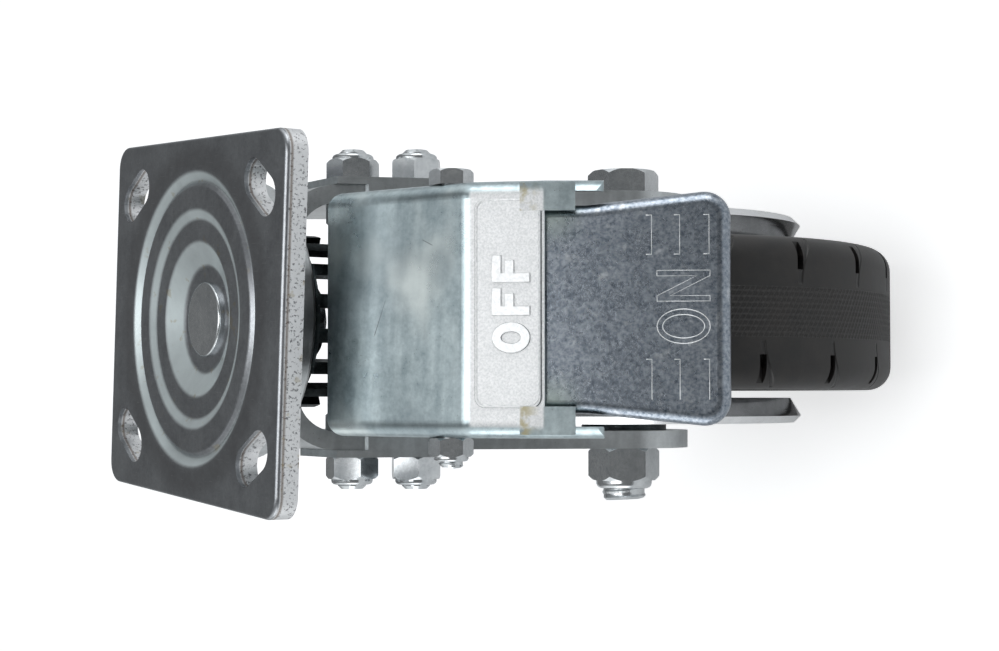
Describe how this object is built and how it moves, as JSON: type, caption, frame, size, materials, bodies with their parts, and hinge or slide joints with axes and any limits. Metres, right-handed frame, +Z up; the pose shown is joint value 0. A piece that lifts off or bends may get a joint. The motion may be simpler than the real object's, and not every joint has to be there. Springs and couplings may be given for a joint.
{
  "type": "plate-mounted swivel castor with total-lock brake",
  "caption": "Swivel castor on a slotted square top plate, with a rubber-tyred wheel in a folded steel fork and an ON pedal and OFF lever that lock wheel and swivel together.",
  "frame": {"origin": "centre of the top plate's mounting face, on the swivel axis", "axes": "+Z up, out of the mounting face; +X along the plate's long side, towards the trailing wheel and pedals; +Y across the plate"},
  "size_m": [0.1917, 0.1016, 0.1905],
  "materials": {
    "zinc_plate": "bright zinc plating over rolled sheet",
    "bright_zinc": "bright zinc plating, smooth pressing",
    "zinc_hardware": "zinc plated fasteners",
    "bearing_steel": "ground bearing steel",
    "dark_steel": "blackened steel",
    "rim_iron": "grey painted iron",
    "tyre_rubber": "black moulded rubber"
  },
  "bodies": {
    "plate": {"top_plate": "zinc_plate", "kingpin": "zinc_hardware", "lower_race": "zinc_hardware", "lock_crown": "dark_steel", "crown_nut": "zinc_hardware"},
    "fork": {"fork": "zinc_plate", "raceway_seal": "dark_steel", "upper_balls": "bearing_steel", "lower_balls": "bearing_steel", "axle_bolt": "zinc_hardware", "axle_nut": "zinc_hardware", "axle_sleeve": "bearing_steel", "hub_washers": "dark_steel", "thread_guard_left": "bright_zinc", "thread_guard_right": "bright_zinc", "brake_bracket_left": "zinc_plate", "brake_bracket_right": "zinc_plate", "bracket_bolts": "zinc_hardware", "bracket_nuts": "zinc_hardware", "pivot_bolt": "zinc_hardware", "pivot_nut": "zinc_hardware", "pivot_sleeve": "bearing_steel", "pivot_washers": "zinc_hardware"},
    "wheel": {"tyre": "tyre_rubber", "wheel_core": "rim_iron", "bearing_rollers": "bearing_steel", "roller_cage": "bearing_steel"},
    "off_lever": {"off_lever": "zinc_plate"},
    "on_pedal": {"on_pedal": "zinc_plate", "brake_shoe": "dark_steel", "lock_lever": "zinc_plate"}
  },
  "joints": [
    {"name": "swivel_spin", "type": "hinge", "parent": "plate", "child": "fork", "pos_m": [0, 0, 0], "axis": [0, 0, 1], "continuous": true},
    {"name": "wheel_spin", "type": "hinge", "parent": "fork", "child": "wheel", "pos_m": [0.04991, 0.00297, -0.1143], "axis": [-0.0593, 0.9982, 0], "continuous": true},
    {"name": "on_pedal_hinge", "type": "hinge", "parent": "fork", "child": "on_pedal", "pos_m": [0.07986, 0.00474, -0.0369], "axis": [-0.0593, 0.9982, 0], "range_deg": [0, 7]},
    {"name": "off_lever_hinge", "type": "hinge", "parent": "fork", "child": "off_lever", "pos_m": [0.07986, 0.00474, -0.0369], "axis": [-0.0593, 0.9982, 0], "range_deg": [-4.2, 0]}
  ],
  "couplings": [
    {"joint": "off_lever_hinge", "follows": "on_pedal_hinge", "ratio": -0.6}
  ]
}
